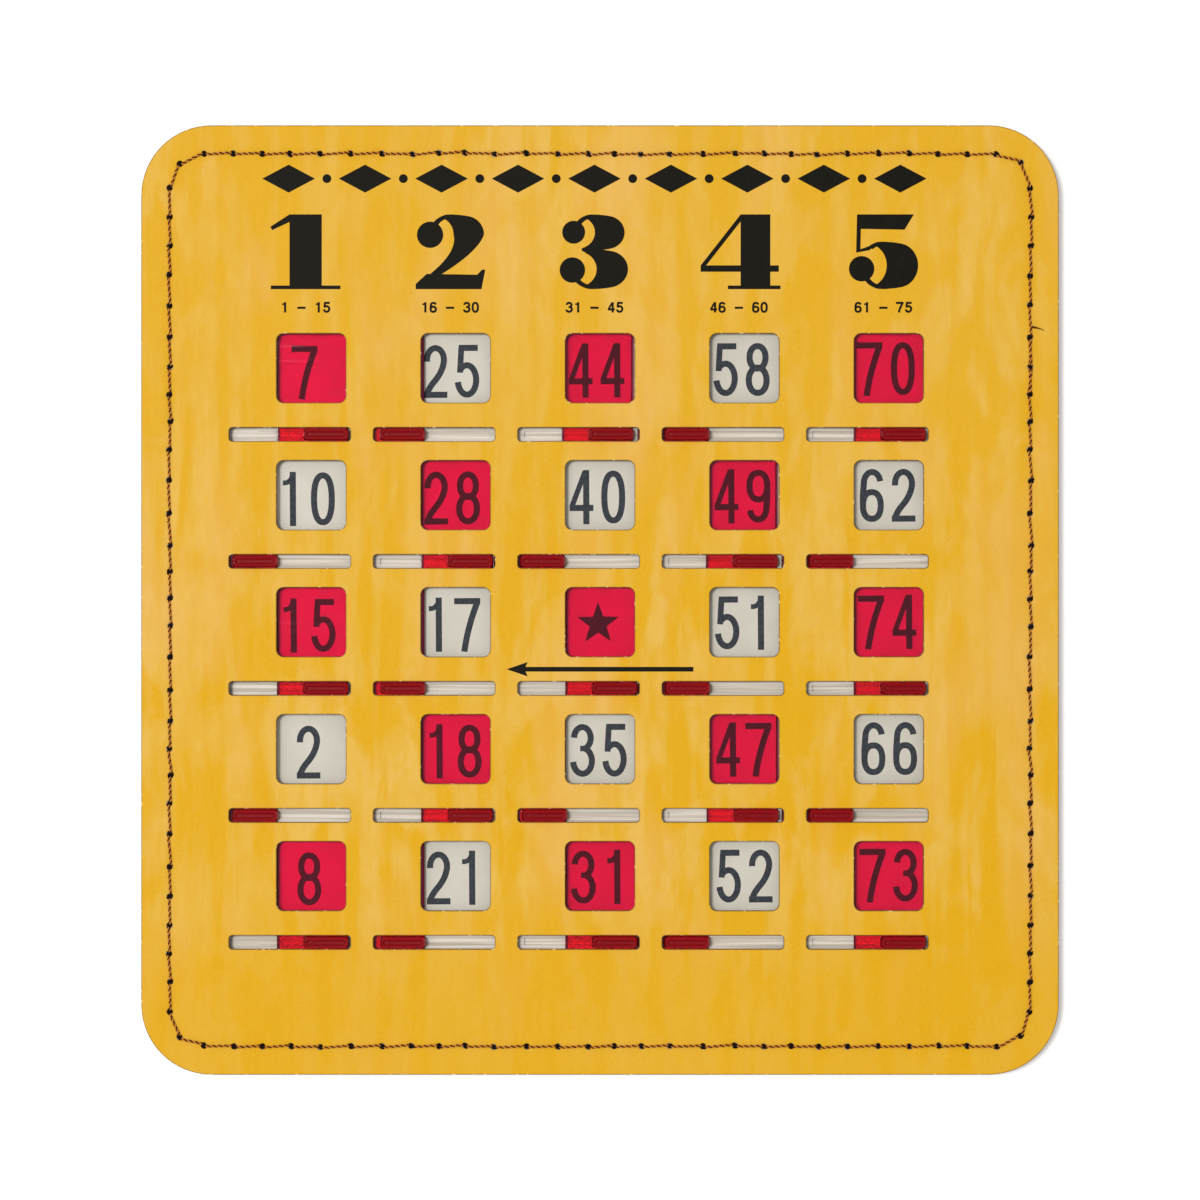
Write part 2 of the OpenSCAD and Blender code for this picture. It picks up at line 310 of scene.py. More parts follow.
def placeY(tree):  # the way up the card
    place = put(tree, "ShaderNodeTexCoord")
    return put(tree, "ShaderNodeSeparateXYZ", {0: place.outputs["Object"]}).outputs["Y"]


def ramp(tree, value, low, high):  # a mask of 0 to 1 onto low to high
    return put(tree, "ShaderNodeMapRange", {"Value": value, "To Min": low, "To Max": high}).outputs[0]


def steepen(tree, value, low, high):  # a smooth step from 0 at low to 1 at high
    return put(tree, "ShaderNodeMapRange", {"Value": value, "From Min": low, "From Max": high},
               interpolation_type="SMOOTHSTEP").outputs[0]


def bump(tree, height, depth, strength):
    node = put(tree, "ShaderNodeBump", {"Height": height, "Distance": depth * mm, "Strength": strength})
    return node.outputs[0]


def newMaterial(name):
    material = bpy.data.materials.new(name)
    material.use_nodes = True
    return material, material.node_tree, material.node_tree.nodes["Principled BSDF"]


def setPlain(shader, **values):
    for key, value in values.items():
        shader.inputs[key.replace("_", " ")].default_value = value


def dress(tree, shader, look, colour, rough, relief=None):
    # a look holds the range of the roughness, the relief's depth in millimetres and its strength, and the
    # shader's plain values
    tree.links.new(colour, shader.inputs["Base Color"])
    tree.links.new(ramp(tree, rough, *look.rough), shader.inputs["Roughness"])
    if relief is not None:
        tree.links.new(bump(tree, relief, *look.relief), shader.inputs["Normal"])
    setPlain(shader, **look.plain)


grain = Settings(
    deep=tone(227, 170, 4),
    pale=tone(233, 187, 86),
    beige=tone(237, 183, 106),
    hair=tone(206, 148, 44),
    fleck=tone(248, 202, 88),
    # raw edge of the paper at a die cut, painted darker as shade down the cut
    cut=tone(104, 72, 34),
    chip=tone(238, 222, 180),
    figure={"Across": 40.0, "Along": 5.0, "Drift": 6.0, "Seed": 2.0},
    streakShare=0.36,  # of the streaks over the mottle, then of the figure over both
    figureShare=0.2,
    steep=(0.27, 0.72),  # where that mix looks deep and where it looks pale
    upper=(-30.0, 70.0),  # the yellow is paler up the card, from the first height to the second
    lower=(-60.0, -95.0),  # and deeper down the card
    layers=[  # a mask, its share where it is full and the colour that it lays on, in this order
        ("dapple", 0.44, "deep"), ("upper", 0.16, "pale"), ("broad", 0.4, "deep"), ("patch", 0.4, "beige"),
        ("lower", 0.68, "deep"), ("hairs", 0.06, "hair"), ("grit", 0.13, "fleck"),
    ],
    rough=(0.46, 0.58),
    relief=(0.012, 0.6),
    plain={"Specular_IOR_Level": 0.08},
)


def makeGrain(name, edged):
    material, tree, shader = newMaterial(name)
    masks = {key: useFibre(tree, key) for key in ("dapple", "broad", "patch", "hairs", "grit")}
    for key in ("upper", "lower"):
        masks[key] = steepen(tree, placeY(tree), *(height * mm for height in getattr(grain, key)))
    mixed = average(tree, useFibre(tree, "mottle"), useFibre(tree, "streak"), grain.streakShare)
    figure = useGroup(tree, bands, **grain.figure)
    mixed = steepen(tree, average(tree, mixed, figure, grain.figureShare), *grain.steep)
    colour = blendColour(tree, mixed, grain.deep, grain.pale)
    for mask, share, over in grain.layers:
        colour = blendColour(tree, ramp(tree, masks[mask], 0.0, share), colour, getattr(grain, over))
    if edged:  # the raw board shows where the die cut through, painted darker as shade down the cut walls
        cut = put(tree, "ShaderNodeAttribute", attribute_name="cutEdge")
        raw = blendColour(tree, useFibre(tree, "chips"), grain.cut, grain.chip)
        colour = blendColour(tree, cut.outputs["Fac"], colour, raw)
    dress(tree, shader, grain, colour, masks["hairs"], useFibre(tree, "tooth"))
    return material


boardLook = Settings(
    dark=tone(150, 128, 98),
    pale=tone(184, 164, 132),
    fleck=tone(92, 76, 58),
    fleckShare=0.6,
    rough=(0.78, 0.94),
    relief=(0.06, 0.7),
    plain={},
)


def makeBoard():  # pressed board, lumps of fibre with dark flecks
    material, tree, shader = newMaterial("chipboard")
    lumps = useFibre(tree, "boardLumps")
    flecks = ramp(tree, useFibre(tree, "boardFlecks"), 0.0, boardLook.fleckShare)
    colour = blendColour(tree, lumps, boardLook.dark, boardLook.pale)
    colour = blendColour(tree, flecks, colour, boardLook.fleck)
    dress(tree, shader, boardLook, colour, lumps, lumps)
    return material


def slotBand(tree):  # 1 along the strip of every row that shows in its slots, by the way down from the window
    pitch = rowY(1) - rowY(2)
    down = maths(tree, "SUBTRACT", rowY(1) * mm, placeY(tree))
    share = maths(tree, "FRACT", maths(tree, "DIVIDE", down, pitch * mm))
    away = maths(tree, "ABSOLUTE", maths(tree, "SUBTRACT", share, grid.slotDrop / pitch))
    return steepen(tree, away, *grid.slotBand)


cardLook = Settings(
    dark=tone(203, 197, 182),
    pale=tone(209, 204, 190),
    scuffDark=tone(196, 185, 168),
    scuffPale=tone(238, 229, 215),
    rough=(0.32, 0.44),
    relief=(0.006, 0.5),
    plain={"Coat_Weight": 0.1, "Coat_Roughness": 0.2, "Specular_IOR_Level": 0.2},
)


def makeSheet():  # coated card with scuff lines in the strips that show in the slots, and those strips painted lighter as painted light in the slots
    material, tree, shader = newMaterial("numberCard")
    tooth = useFibre(tree, "cardTooth")
    colour = blendColour(tree, useFibre(tree, "cardCloud"), cardLook.dark, cardLook.pale)
    scuffedAndLit = blendColour(tree, useFibre(tree, "drawnLines"), cardLook.scuffDark, cardLook.scuffPale)
    # the slot strips are painted lighter than the card, as painted light on the slot floors
    colour = blendColour(tree, slotBand(tree), colour, scuffedAndLit)
    dress(tree, shader, cardLook, colour, tooth, tooth)
    return material


slideLook = Settings(
    dark=tone(196, 186, 170),
    pale=tone(235, 227, 214),
    cloud=tone(212, 204, 190),
    cloudShare=0.2,
    rough=(0.4, 0.5),
    relief=(0.03, 0.6),
    plain={"Specular_IOR_Level": 0.2},
)


def makeSlide():  # white moulded strip with faint drawn lines along its length
    material, tree, shader = newMaterial("whitePlastic")
    lines = useFibre(tree, "drawnLines")
    cloud = ramp(tree, useFibre(tree, "slideCloud"), 0.0, slideLook.cloudShare)
    colour = blendColour(tree, lines, slideLook.dark, slideLook.pale)
    colour = blendColour(tree, cloud, colour, slideLook.cloud)
    dress(tree, shader, slideLook, colour, lines, lines)
    return material


plastic = Settings(
    ior=1.42,
    gloss=(0.05, 0.16),  # roughness where it is clean and where it is scuffed
    matt=(0.4, 0.5),
    relief=(0.01, 0.4),
)


def makeRed(name, colour, clear, shine, rough, foot=None):
    # clear red plastic with light scuffs along its slide; the foot colour is a tint painted on the strip
    # behind a slot, as painted light from the white slide under it
    material, tree, shader = newMaterial(name)
    setPlain(shader, Base_Color=colour, Transmission_Weight=clear, Specular_IOR_Level=shine, IOR=plastic.ior)
    tree.links.new(ramp(tree, useFibre(tree, "scuffs"), *rough), shader.inputs["Roughness"])
    tree.links.new(bump(tree, useFibre(tree, "swell"), *plastic.relief), shader.inputs["Normal"])
    if clear > 0:  # light passes on through the plate
        shade = put(tree, "ShaderNodeBsdfTransparent", {"Color": colour})
        path = put(tree, "ShaderNodeLightPath")
        mix = put(tree, "ShaderNodeMixShader", {0: path.outputs["Is Shadow Ray"], 1: shader.outputs[0],
                                               2: shade.outputs[0]})
        tree.links.new(mix.outputs[0], tree.nodes["Material Output"].inputs["Surface"])
        # the strip behind each slot takes the foot colour as painted light from the white slide beneath
        if foot:
            both = blendColour(tree, slotBand(tree), colour, foot)
            tree.links.new(both, shader.inputs["Base Color"])
            tree.links.new(both, shade.inputs["Color"])
    return material


inkLook = Settings(rough=(0.45, 0.6), plain={"Specular_IOR_Level": 0.06})


def makeInk(name, dark, worn):
    material, tree, shader = newMaterial(name)
    wear = useFibre(tree, "inkWear")
    dress(tree, shader, inkLook, blendColour(tree, wear, dark, worn), wear)
    return material


plyLook = Settings(rough=(0.6, 0.8), relief=(0.04, 1.0), plain={"Specular_IOR_Level": 0.06})


def makePly(name, dark, light):  # one ply of a spun thread, with its hairs
    material, tree, shader = newMaterial(name)
    hairs = useFibre(tree, "plyHairs")
    dress(tree, shader, plyLook, blendColour(tree, hairs, dark, light), hairs, hairs)
    return material


facing = makeGrain("grainFacing", True)
backFacing = makeGrain("grainBack", False)
board = makeBoard()
numberCard = makeSheet()
whitePlastic = makeSlide()
# the foot colour is painted light on the strip behind each slot
redPlate = makeRed("redPlate", (0.782, 0.010, 0.245, 1), clear=1.0, shine=0.15, rough=plastic.gloss,
                   foot=(0.725, 0.006, 0.117, 1))
redTab = makeRed("redTab", (0.225, 0.002, 0.005, 1), clear=0.0, shine=0.1, rough=plastic.matt)
# lighter red painted on the tab's walls as the light on them
redWallLit = makeRed("redWallLit", (0.55, 0.005, 0.016, 1), clear=0.0, shine=0.1, rough=plastic.matt)
# dark maroon painted on the plate's rounded edge as its shade
redEdgeShade = makeRed("redEdgeShade", (0.11, 0.003, 0.012, 1), clear=0.0, shine=0.2, rough=plastic.gloss)
numberInk = makeInk("numberInk", tone(52, 55, 61), tone(70, 74, 80))
faceInk = makeInk("faceInk", tone(17, 14, 7), tone(28, 25, 15))
plyDark = makePly("plyDark", tone(46, 24, 10), tone(104, 60, 26))
plyBrown = makePly("plyBrown", tone(196, 114, 40), tone(236, 158, 74))
# near-black knots: the thread's own dark colour and painted shade of the needle holes
knotAndHoleShade = makePly("knotAndHoleShade", tone(10, 8, 6), tone(30, 20, 13))
print("materials ready")

carried = {"back_paper": backFacing, "number_sheet": numberCard, "clearing_slide": whitePlastic}
for name, node in frame["nodes"].items():
    node.data.materials.clear()
    node.data.materials.append(carried.get(name, redPlate if "shutter" in name else board))
print("frame nodes dressed")


# facing sheet on the front

sewing = Settings(
    inset=6.7,
    pitch=7.0,
    cornerRadius=8.0,
    cornerStitches=2,
    hole=1.5,
    holeSides=14,
    drift=0.9,  # the needle went in up to this far from an even spacing, on the front
    driftWaves=9,  # half waves of that along a side
    scatter=0.13,
    slant=-0.24,  # each stitch starts this far outside the line and ends as far inside
    leanScatter=0.05,
    thickScatter=0.05,
    archPower=5,
    twist=0.72,  # turns of the plies per millimetre
    anyTurn=6.3,  # about one full turn, in radians
    plyOut=0.23,  # a ply's way out from the middle and its radius, as shares of the thread's thickness
    plyRadius=0.27,
    plySides=5,
    frontThick=0.72,
    frontRise=0.3,  # heights on the front are from the face
    frontHole=-0.45,
    frontSteps=42,
    secondThick=0.8,  # the second sewing's thickness and slant, as shares of the first
    secondSlant=-1.6,
    secondRise=0.27,
    backThick=0.4,
    backRise=0.24,  # heights on the back are from the card's underside
    backHole=0.5,
    backSteps=30,
    backSlant=0.5,  # as a share of the front's
    dimple=0.14,
    dimpleReach=0.9,
    dimpleRings=(1.3, 1.8, 2.4),  # radii of the extra points round each hole
    dimpleSides=12,
    sideReach=8.0,  # a hole this near to the right edge is on the right side
    tackFrom=46.0,  # the seam is sewn twice from here up to tackTo, on the right
    tackTo=67.0,
    tail=[(101.5, 64.3), (102.6, 64.1), (103.6, 63.9), (104.6, 63.4)],
    tailThick=0.55,
    tailRise=0.02,
    tailThins=0.8,
    tailFalls=0.1,
)
knot = Settings(
    front=(0.9, 0.54),  # half its length and width
    frontTop=0.2,
    frontTall=0.3,
    back=(0.62, 0.5),
    backTop=0.3,
    backTall=-0.12,  # it hangs down
    sizes=(0.88, 1.12),
    lie=-35,  # degrees off the seam
    lieScatter=14,
    lump=0.09,
    lumps=3,
    climb=(0.0, 0.0, 35.0, 68.0),  # degrees up the dome, ring by ring, from its foot
    footShare=0.6,  # the foot goes deeper by this share of the height
    sides=12,
)


def alongSide(run, count, drift):  # run (2 t - 1) + drift sin(pi t) sin(waves pi t + 1)
    t = np.linspace(0, 1, count + 1)
    wave = np.sin(math.pi * t) * np.sin(sewing.driftWaves * math.pi * t + 1)
    return run * (2 * t - 1) + drift * wave


def needlePoints(drift=0.0):
    # straight runs joined by quarter circles, anticlockwise from the low left
    half = cardHalf - sewing.inset
    r = sewing.cornerRadius
    run = half - r
    nx, ny = (round(2 * v / sewing.pitch) for v in run)
    x, y = alongSide(run[0], nx, drift), alongSide(run[1], ny, drift)
    turn = np.arange(1, sewing.cornerStitches) * 90 / sewing.cornerStitches

    def bend(sx, sy, start):
        t = np.radians(start + turn)
        return np.column_stack([sx * run[0] + r * np.cos(t), sy * run[1] + r * np.sin(t)])

    return np.concatenate([
        np.column_stack([x, np.full(nx + 1, -half[1])]), bend(1, -1, -90),
        np.column_stack([np.full(ny + 1, half[0]), y]), bend(1, 1, 0),
        np.column_stack([x[::-1], np.full(nx + 1, half[1])]), bend(-1, 1, 90),
        np.column_stack([np.full(ny + 1, -half[0]), y[::-1]]), bend(-1, -1, 180),
    ])


needles = needlePoints()
scatter = dice.normal(0, sewing.scatter, needles.shape)
sewn = needlePoints(sewing.drift) + scatter  # needle holes in the facing
facingCut = Settings(
    cornerRadius=16.5,
    profile=[(0.4, 0.0), (0.3, 0.0), (0.16, -0.015), (0.06, -0.055), (0.0, -0.13), (0.0, -0.25)],
    holeShare=0.6,  # of the profile's width, in a needle hole
    bareDepth=0.055,  # the raw board, painted darker as shade in the cut, shows fully from here down
    pressDepth=-0.2,  # what lies above this is pressed in by the needle
)


def facingLoops(d):  # outline, windows, slots and needle holes, each moved by d into the paper
    loops = [roundRect(2 * (cardHalf[0] - d), 2 * (cardHalf[1] - d), facingCut.cornerRadius - d,
                       corner=16, side=30)]
    window = roundRect(grid.window + 2 * d, grid.window + 2 * d, grid.windowRadius + d, corner=7, side=6)
    slot = roundRect(grid.slotLength + 2 * d, grid.slotWidth + 2 * d, grid.slotRadius + d, corner=6, side=6)
    for row, col in cells:
        middle = np.array([colX(col), rowY(row)])
        loops += [middle + window, middle + (grid.slotShift, -grid.slotDrop) + slot]
    hole = sewing.hole / 2 + facingCut.holeShare * d
    return loops + [ringLoop(x, y, hole, sewing.holeSides) for x, y in sewn]


def buildFacing():
    # every cut edge is the same profile (inset, height) carried along its outline; the flat between is filled
    steps = facingCut.profile
    levels = [facingLoops(d) for d, z in steps]
    rings = sewing.dimpleRings
    spread = np.concatenate([ringLoop(x, y, r, sewing.dimpleSides) for r in rings for x, y in sewn])
    verts = [lift(np.concatenate(levels[0] + [spread]), 0.0)]
    cut = [np.zeros(len(verts[0]))]
    faces = fillFlat(levels[0], spread).tolist()
    starts = np.cumsum([0] + [len(loop) for loop in levels[0]])
    base = len(verts[0])
    lowRings = []
    for i, start in enumerate(starts[:-1]):
        rings = np.concatenate([lift(level[i], z) for level, (d, z) in zip(levels[1:], steps[1:])])
        count = len(levels[0][i])
        index = np.concatenate([start + np.arange(count), base + np.arange(len(rings))])
        faces += index[gridQuads(len(steps), count)].tolist()
        verts.append(rings)
        bare = 1.0 if i <= 2 * len(cells) else 0.0  # not in the needle holes
        shown = [bare * min(1.0, max(0.0, -z / facingCut.bareDepth)) for d, z in steps[1:]]
        cut.append(np.repeat(shown, count))
        lowRings.append(index[-count:])
        base += len(rings)
    faces += np.concatenate(lowRings)[fillFlat(levels[-1])].tolist()
    verts = np.concatenate(verts)
    gap = np.sqrt(((verts[:, None, :2] - sewn[None]) ** 2).sum(-1)).min(1) - sewing.hole / 2
    press = sewing.dimple * np.exp(-(np.maximum(gap, 0) / sewing.dimpleReach) ** 2)
    verts[:, 2] -= press * (verts[:, 2] > facingCut.pressDepth)
    verts[:, 2] = np.maximum(verts[:, 2], faceLow - faceTop) + faceTop
    piece = addPiece("front_facing", verts, faces, [facing], "card")
    layer = piece.data.attributes.new("cutEdge", "FLOAT", "POINT")
    layer.data.foreach_set("value", np.concatenate(cut).astype(np.float32))
    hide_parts("front_paper")


buildFacing()
print("facing cut")


# stitching

def plyRuns(start, end, thick, zRest, zHole, stations, slant):
    # each stitch is an arch between two holes, z = hole + rise (1 - |2s - 1|^p), and two round plies wind
    # round it: centre + q (cos a across + sin a up) with a = 2 pi turns s + pi k
    sides = sewing.plySides
    step = end - start
    long = np.linalg.norm(step, axis=1)
    along = step / long[:, None]
    across = np.column_stack([-along[:, 1], along[:, 0]])
    s = np.linspace(0.0, 1.0, stations)
    arch = 1 - np.abs(2 * s - 1) ** sewing.archPower
    lean = slant + sewing.leanScatter * dice.standard_normal(len(start))
    thicker = thick * (1 + sewing.thickScatter * dice.uniform(-1, 1, len(start)))
    side = lean[:, None] * (0.5 - s)[None, :] * 2 * np.sqrt(arch)[None, :]
    path = start[:, None, :] + along[:, None, :] * (s[None, :] * long[:, None])[..., None]
    path = path + across[:, None, :] * side[..., None]
    turn = 2 * math.pi * sewing.twist * long[:, None] * s[None, :]
    turn = turn + dice.uniform(0, sewing.anyTurn, len(start))[:, None]
    turn = turn[:, None, :] + np.array([0, math.pi])[None, :, None]
    ring = np.linspace(0, 2 * math.pi, sides, endpoint=False)
    thicker = thicker[:, None, None, None]
    q, r = sewing.plyOut * thicker, sewing.plyRadius * thicker
    sideways = q * np.cos(turn)[..., None] + r * np.cos(ring)
    upward = q * np.sin(turn)[..., None] + r * np.sin(ring)
    verts = np.empty((len(start), 2, stations, sides, 3))
    verts[..., :2] = path[:, None, :, None, :] + across[:, None, None, None, :] * sideways[..., None]
    verts[..., 2] = (zHole + (zRest - zHole) * arch)[None, None, :, None] + upward
    plies = 2 * len(start)
    walls, ends = tubeFaces(plies, stations, sides)
    kinds = [np.arange(plies).repeat(len(faces) // plies) % 2 for faces in (walls, ends)]
    return verts.reshape(-1, 3), walls + ends, np.concatenate(kinds)


def knots(points, along, size, zTop, tall):
    # a lumpy low dome over each needle hole, of radius 1 / sqrt((cos t / a)^2 + (sin t / b)^2) and
    # height tall (sin e - 1)
    count, sides, rings = len(points), knot.sides, len(knot.climb)
    t = np.linspace(0, 2 * math.pi, sides, endpoint=False)[None, :]
    askew = np.radians(knot.lie + knot.lieScatter * dice.standard_normal(count))
    lie = np.arctan2(along[:, 1], along[:, 0]) + askew
    a, b = (v * dice.uniform(*knot.sizes, count)[:, None] for v in size)
    radius = 1 / np.sqrt((np.cos(t - lie[:, None]) / a) ** 2 + (np.sin(t - lie[:, None]) / b) ** 2)
    start = dice.uniform(0, sewing.anyTurn, count)[:, None]
    radius *= 1 + knot.lump * np.cos(knot.lumps * t + start)
    e = np.radians(knot.climb)
    z = zTop + tall * (np.sin(e) - 1)
    z[0] -= knot.footShare * tall
    verts = np.empty((count, rings, sides, 3))
    verts[..., 0] = points[:, None, None, 0] + np.cos(e)[None, :, None] * (radius * np.cos(t))[:, None, :]
    verts[..., 1] = points[:, None, None, 1] + np.cos(e)[None, :, None] * (radius * np.sin(t))[:, None, :]
    verts[..., 2] = z[None, :, None]
    walls, ends = tubeFaces(count, rings, sides)
    # the domes take the near-black knot colour, partly painted shade of the needle holes
    return verts.reshape(-1, 3), walls + ends, np.full(len(walls + ends), 2)


def threadTail(points, thick, z, sides=6):  # loose end: a round profile that thins out along its path
    path = np.array(points)
    s = np.linspace(0, 1, len(path))
    r = thick / 2 * (1 - sewing.tailThins * s)
    t = np.linspace(0, 2 * math.pi, sides, endpoint=False)
    slope = np.gradient(path, axis=0)
    across = np.column_stack([-slope[:, 1], slope[:, 0]]) / np.linalg.norm(slope, axis=1)[:, None]
    flat = path[:, None, :] + across[:, None, :] * (r[:, None] * np.cos(t))[..., None]
    high = z + r[:, None] * (1 + np.sin(t)) - sewing.tailFalls * s[:, None]
    verts = np.concatenate([flat, high[..., None]], -1).reshape(-1, 3)
    walls, ends = tubeFaces(1, len(path), sides)
    return verts, walls + ends, np.zeros(len(walls + ends))


def buildStitches(name, node, parts):
    verts, faces = gather([part[:2] for part in parts])
    piece = addPiece(name, verts, faces, [plyDark, plyBrown, knotAndHoleShade], "card",
                     faceMaterial=np.concatenate([part[2] for part in parts]))
    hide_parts(node)


nextNeedle = np.roll(needles, -1, 0)
seamWay = (nextNeedle - needles) / np.linalg.norm(nextNeedle - needles, axis=1)[:, None]
onRight = needles[:, 0] > cardHalf[0] - sewing.sideReach
doubled = onRight & (needles[:, 1] > sewing.tackFrom) & (nextNeedle[:, 1] < sewing.tackTo)
nextSewn = np.roll(sewn, -1, 0)
frontHole = faceTop + sewing.frontHole
buildStitches("front_stitches", "needle_thread", [
    plyRuns(sewn, nextSewn, sewing.frontThick, faceTop + sewing.frontRise, frontHole,
            sewing.frontSteps, sewing.slant),
    plyRuns(sewn[doubled], nextSewn[doubled], sewing.secondThick * sewing.frontThick,
            faceTop + sewing.secondRise, frontHole, sewing.frontSteps,
            sewing.secondSlant * sewing.slant),
    knots(sewn, seamWay, knot.front, faceTop + knot.frontTop, knot.frontTall),
    threadTail(sewing.tail, sewing.tailThick, faceTop + sewing.tailRise),
])
buildStitches("back_stitches", "bobbin_thread", [
    plyRuns(needles, nextNeedle, sewing.backThick, sewing.backRise, sewing.backHole,
            sewing.backSteps, sewing.backSlant * sewing.slant),
    knots(needles, seamWay, knot.back, knot.backTop, knot.backTall),
])
print("stitches laid")


# printed numbers

def line(*points):
    return np.array(points, float)


def arc(cx, cy, rx, ry, start, end, count=18):  # (cx + rx cos t, cy + ry sin t)
    t = np.radians(np.linspace(start, end, count))
    return np.column_stack([cx + rx * np.cos(t), cy + ry * np.sin(t)])


def sweep(a, b, c, count=14):  # a (1-t)^2 + 2 b t (1-t) + c t^2
    t = np.linspace(0, 1, count)[:, None]
    return np.array(a) * (1 - t) ** 2 + 2 * np.array(b) * t * (1 - t) + np.array(c) * t ** 2


def join(*runs):
    return np.concatenate([run if i == 0 else run[1:] for i, run in enumerate(runs)])


def oval(cx, cy, rx, ry, power, count=44):  # |x / rx|^p + |y / ry|^p = 1
    t = np.linspace(0, 2 * math.pi, count)
    c, s = np.cos(t), np.sin(t)
    x = np.sign(c) * np.abs(c) ** (2 / power)
    y = np.sign(s) * np.abs(s) ** (2 / power)
    return np.column_stack([cx + rx * x, cy + ry * y])


def evenOffset(path, thick):  # square to the path, half the thickness
    slope = np.gradient(path, axis=0)
    if np.allclose(path[0], path[-1]):  # a closed path has one slope at its seam
        slope[0] = slope[-1] = path[1] - path[-2]
    slope /= np.linalg.norm(slope, axis=1)[:, None]
    return np.column_stack([-slope[:, 1], slope[:, 0]]) * thick / 2


def nibOffset(path, wide, thin):  # edge of a flat oval nib: thick on uprights, thin on level strokes
    normal = evenOffset(path, 2.0)
    half = np.column_stack([np.broadcast_to(wide, len(path)), np.broadcast_to(thin, len(path))]) / 2
    reach = np.sqrt(((normal * half) ** 2).sum(1))[:, None]
    return normal * half ** 2 / reach


def strokeShapes(path, offset):  # triangles between both edges of a stroke
    left, right = path + offset, path - offset
    a, b, c, d = left[:-1], left[1:], right[1:], right[:-1]
    return list(np.concatenate([np.stack([a, d, c], 1), np.stack([a, c, b], 1)]))


def signedArea(shape):  # half the sum of x dy - y dx
    x, y = shape[:, 0], shape[:, 1]
    return 0.5 * float(np.sum(x * np.roll(y, -1) - y * np.roll(x, -1)))


def uniteFlat(shapes):  # one flat triangle mesh that covers every shape once
    kept = [s if signedArea(s) > 0 else s[::-1] for s in shapes if abs(signedArea(s)) > 1e-5]
    starts = np.cumsum([0] + [len(s) for s in kept])
    rings = [list(range(a, b)) for a, b in zip(starts, starts[1:])]
    corners = [Vector(p) for p in np.concatenate(kept)]
    out = delaunay_2d_cdt(corners, [], rings, meshing.inside, meshing.merge)
    places, triangles, sources = out[0], out[2], out[5]
    made = [list(f) for f, source in zip(triangles, sources) if source]
    return np.array([tuple(p) for p in places]), np.array(made)


def slab(points, made, low, high):  # a flat mesh given thickness, with its rim closed
    n = len(points)
    edges = made[:, [0, 1, 1, 2, 2, 0]].reshape(-1, 2)
    code = np.array([n, 1])
    rim = edges[~np.isin(edges @ code, edges[:, ::-1] @ code)]
    faces = (made + n).tolist() + made[:, ::-1].tolist() + np.column_stack([rim, rim[:, ::-1] + n]).tolist()
    return np.concatenate([lift(points, low), lift(points, high)]), faces


inkLayer = Settings(sunk=0.01, high=0.012)  # below and above the printed surface


def addPrint(name, groups, surface, material):
    low, high = surface - inkLayer.sunk, surface + inkLayer.high
    verts, faces = gather([slab(*uniteFlat(shapes), low, high) for shapes in groups])
    addPiece(name, verts, faces, [material], "card", smooth=False)


sixStem = join(arc(0.52, 0.77, 0.46, 0.23, 8, 180), line((0.06, 0.77), (0.0, 0.5), (0.0, 0.26)))
sixBowl = oval(0.5, 0.285, 0.5, 0.285, 2.3)
digitRuns = {  # middle lines of the strokes in a box of 1 by 1, with their share of the full thickness
    "0": [(oval(0.5, 0.5, 0.5, 0.5, 2.35), 1)],
    "1": [(line((0.6, -0.08), (0.6, 1.08)), 1),
          (join(line((0.04, 0.845), (0.16, 0.845)), sweep((0.16, 0.845), (0.5, 0.855), (0.6, 1.03))), 0.8)],
    "2": [(join(arc(0.5, 0.745, 0.48, 0.255, 188, -26), sweep((0.931, 0.633), (0.83, 0.46), (0.42, 0.28)),
                sweep((0.42, 0.28), (0.04, 0.11), (0.0, -0.03))), 1),
          (line((-0.17, 0), (1.16, 0)), 1)],
    "3": [(arc(0.47, 0.765, 0.47, 0.235, 178, -80), 1), (arc(0.47, 0.275, 0.53, 0.275, 80, -176), 1),
          (line((0.34, 0.54), (0.6, 0.54)), 0.9)],
    "4": [(line((0.77, -0.08), (0.77, 1.08)), 1), (line((0.7, 1.04), (-0.06, 0.28)), 0.85),
          (line((-0.17, 0.27), (1.17, 0.27)), 1)],
    "5": [(line((1.1, 1), (0.02, 1)), 1), (line((0.17, 1.0), (0.09, 0.47)), 0.95),
          (arc(0.48, 0.315, 0.52, 0.315, 142, -172, 26), 1)],
    "6": [(sixStem, 1), (sixBowl, 1)],
    "7": [(line((-0.32, 1), (1.15, 1)), 1), (sweep((1.0, 0.99), (0.44, 0.46), (0.24, -0.08)), 1)],
    "8": [(oval(0.5, 0.76, 0.45, 0.24, 2.1), 1), (oval(0.5, 0.27, 0.5, 0.27, 2.1), 1)],
    "9": [(1 - sixStem, 1), (1 - sixBowl, 1)],
    "-": [(line((-0.3, 0.45), (1.3, 0.45)), 1)],
}


def wordGroups(text, x, y, pitch, w, h, thick):  # signs at an even pitch, centred on x, y
    groups = []
    for i, sign in enumerate(text):
        if sign != " ":
            middle = np.array([x + pitch * (i - (len(text) - 1) / 2), y])
            shapes = []
            for run, share in digitRuns[sign]:
                path = middle + (run - 0.5) * (w - thick, h - thick)
                shapes += strokeShapes(path, evenOffset(path, thick * share))
            groups.append(shapes)
    return groups


numbers = Settings(
    rows=[[7, 25, 44, 58, 70], [10, 28, 40, 49, 62], [15, 17, 0, 51, 74], [2, 18, 35, 47, 66],
          [8, 21, 31, 52, 73]],
    pitch=7.5,
    spread=0.28,  # the print is this much wider in pitch than the windows
    width=5.65,
    height=12.5,
    stroke=1.46,
    shift=(-0.48, -0.4),
    askew=0.35,  # the sheet lies this many degrees askew in its pocket
    star=(5.2, 2.1),
)


